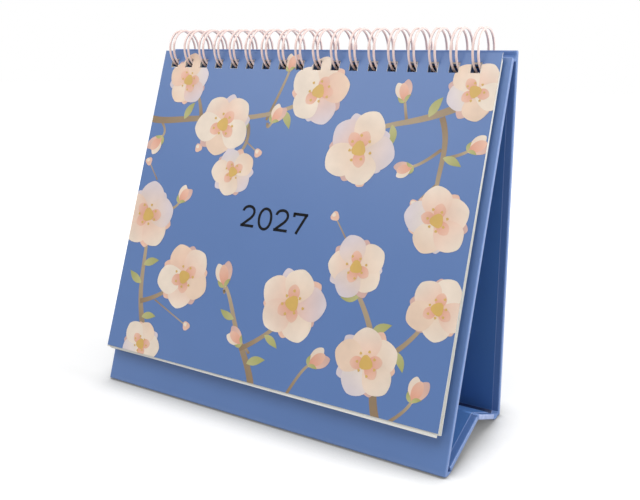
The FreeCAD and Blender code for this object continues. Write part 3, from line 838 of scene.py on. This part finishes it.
# Nylon coat: pale pink, smooth and a little uneven.
coat = grained("pink_nylon_coat", (COAT_SHADE, COAT), COAT_LUMPS, LUMP_RELIEF,
               {"Roughness": 0.25, "Coat Weight": 0.9, "Coat Roughness": 0.08}, detail=2)

ring = Vector(next(j["pos_m"] for j in frame["joints"] if j["name"] == "stand_fold"))


def arc(heading, middle, axis, angle, steps):
    """Carry the wire's end round an axis through a middle point, and give its new heading."""
    start = line[-1] - middle
    for step in range(1, steps + 1):
        line.append(middle + Matrix.Rotation(angle * step / steps, 3, axis) @ start)
    return Matrix.Rotation(angle, 3, axis) @ heading


bend_angle = TWIN / RING
start = SEAM + bend_angle
sweep = 2 * math.pi - 2 * bend_angle - (GAUGE + SEAM_GAP) / RING
radial = Vector((0, math.cos(start), math.sin(start)))
rising = Vector((0, -math.sin(start), math.cos(start)))
along = Vector((1, 0, 0))
link = pitch - 4 * TWIN
line = [Vector((wire_low.x, ring.y, ring.z)) + radial * RING - rising * TWIN]
heading = along
for _ in range(LOOPS):
    line.append(line[-1] + along * link / 2)
    heading = arc(heading, line[-1] + rising * TWIN, heading.cross(rising), math.pi / 2, TURN_STEPS // 2)
    heading = arc(heading, Vector((line[-1].x, ring.y, ring.z)), along, sweep, ARC_STEPS)
    heading = arc(heading, line[-1] + along * TWIN, heading.cross(along), math.pi, TURN_STEPS)
    heading = arc(heading, Vector((line[-1].x, ring.y, ring.z)), -along, sweep, ARC_STEPS)
    heading = arc(heading, line[-1] + along * TWIN, heading.cross(along), math.pi / 2, TURN_STEPS // 2)
    line.append(line[-1] + along * link / 2)

curve = bpy.data.curves.new("wire_line", "CURVE")
curve.dimensions = "3D"
curve.bevel_depth = GAUGE / 2
curve.bevel_resolution = ROUNDNESS
curve.use_fill_caps = True
spline = curve.splines.new("POLY")
spline.points.add(len(line) - 1)
for point, place in zip(spline.points, line):
    point.co = (*place, 1)
drawn = bpy.data.objects.new("wire_line", curve)
scene = bpy.context.scene
scene.collection.objects.link(drawn)
wire_bm = bmesh.new()
wire_bm.from_mesh(drawn.to_mesh())
drawn.to_mesh_clear()
bpy.data.objects.remove(drawn)
bmesh.ops.recalc_face_normals(wire_bm, faces=wire_bm.faces)
made("twin_loop_wire", wire_bm, Matrix.Identity(4), "front_panel", [coat], ["binding_wire"])

# ---------------------------------------------------------------- stage
# A plain white floor and surround, with large soft lamps high in front, at the front left and at the
# right-hand side.
FLOOR_HALF = 4
FLOOR_WHITE = "#d0d0d0"
# The glow that makes the floor plain white to the eye: under the calendar and far from it, in metres.
FLOOR_LIFT = (0.48, 0.85)
LIFT_FROM, LIFT_TO = 0.1, 0.4
# The shade on the floor close to the feet: its reach, how shut in the floor is where the shade is
# deepest, and the share of light left there.
CONTACT = 14 * MM
CONTACT_SHADE = (0.45, 0.3)
# The world's light on the calendar, against 1 where it is seen.
SKY = 0.37


def background_rays(material):
    """1 for a ray that meets the background straight, in a gloss or through glass, and 0 for its light."""
    rays = add(material, "ShaderNodeLightPath").outputs
    seen = rays["Is Camera Ray"]
    for kind in ("Is Glossy Ray", "Is Transmission Ray"):
        seen = add(material, "ShaderNodeMath", {0: seen, 1: rays[kind]}, operation="MAXIMUM").outputs[0]
    return seen


floor_mesh = bmesh.new()
bmesh.ops.create_grid(floor_mesh, x_segments=1, y_segments=1, size=FLOOR_HALF)
sheet = bpy.data.meshes.new("floor")
floor_mesh.to_mesh(sheet)
floor_mesh.free()
floor = bpy.data.objects.new("floor", sheet)
scene.collection.objects.link(floor)
# Studio floor: matt white, lifted to plain white for the camera.
white, shader, place = surface("studio_white")
away = add(white, "ShaderNodeVectorMath", {0: place}, operation="LENGTH").outputs["Value"]
lift = add(white, "ShaderNodeMapRange", {"Value": away, "From Min": LIFT_FROM, "From Max": LIFT_TO,
                                         "To Min": FLOOR_LIFT[0], "To Max": FLOOR_LIFT[1]}).outputs[0]
near = add(white, "ShaderNodeAmbientOcclusion", {"Distance": CONTACT}, samples=16).outputs["AO"]
near = add(white, "ShaderNodeMapRange", {"Value": near, "From Min": CONTACT_SHADE[0],
                                         "To Min": CONTACT_SHADE[1]}).outputs[0]
shade = add(white, "ShaderNodeMix", {FACTOR: near, FIRST: hue("#000000"), SECOND: hue(FLOOR_WHITE)},
            data_type="RGBA").outputs[MIXED]
lift = add(white, "ShaderNodeMath", {0: lift, 1: near}, operation="MULTIPLY").outputs[0]
lift = add(white, "ShaderNodeMath", {0: background_rays(white), 1: lift}, operation="MULTIPLY").outputs[0]
feed(white, shader, {"Base Color": shade, "Emission Color": (1, 1, 1, 1), "Emission Strength": lift,
                     "Roughness": 1.0, "Specular IOR Level": 0.0})
sheet.materials.append(white)

scene.view_settings.view_transform = "Standard"
# The camera stands at the right of the front, a little below the top of the wire.
camera = bpy.data.objects.new("camera", bpy.data.cameras.new("camera"))
scene.collection.objects.link(camera)
camera.location = (0.16789, -0.24611, 0.14025)
camera.rotation_euler = (math.radians(76.624), math.radians(-0.818), math.radians(29.5))
camera.data.lens = 41.706
camera.data.shift_x = -0.0588
camera.data.shift_y = -0.0147
camera.data.sensor_width = 36
camera.data.clip_start = 0.01
scene.camera = camera


def lamp(name, spot, target, size, power):
    """A square soft lamp that faces a point."""
    light = bpy.data.lights.new(name, "AREA")
    light.size = size
    light.energy = power
    stand = bpy.data.objects.new(name, light)
    scene.collection.objects.link(stand)
    stand.visible_camera = False
    stand.location = spot
    stand.rotation_euler = (Vector(target) - Vector(spot)).to_track_quat("-Z", "Y").to_euler()


lamp("key", (0.18, -0.42, 0.86), (0, 0, 0.08), 0.68, 3.0)
lamp("front", (-0.28, -0.4, 0.6), (0, 0.01, 0.14), 0.5, 1.5)
lamp("side", (0.62, 0.2, 0.36), (0, 0, 0.06), 0.4, 3.3)
world = bpy.data.worlds.new("studio")
scene.world = world
world.use_nodes = True
level = add(world, "ShaderNodeMapRange", {"Value": background_rays(world), "To Min": SKY, "To Max": 1.0})
feed(world, world.node_tree.nodes["Background"], {"Color": (1, 1, 1, 1), "Strength": level.outputs[0]})
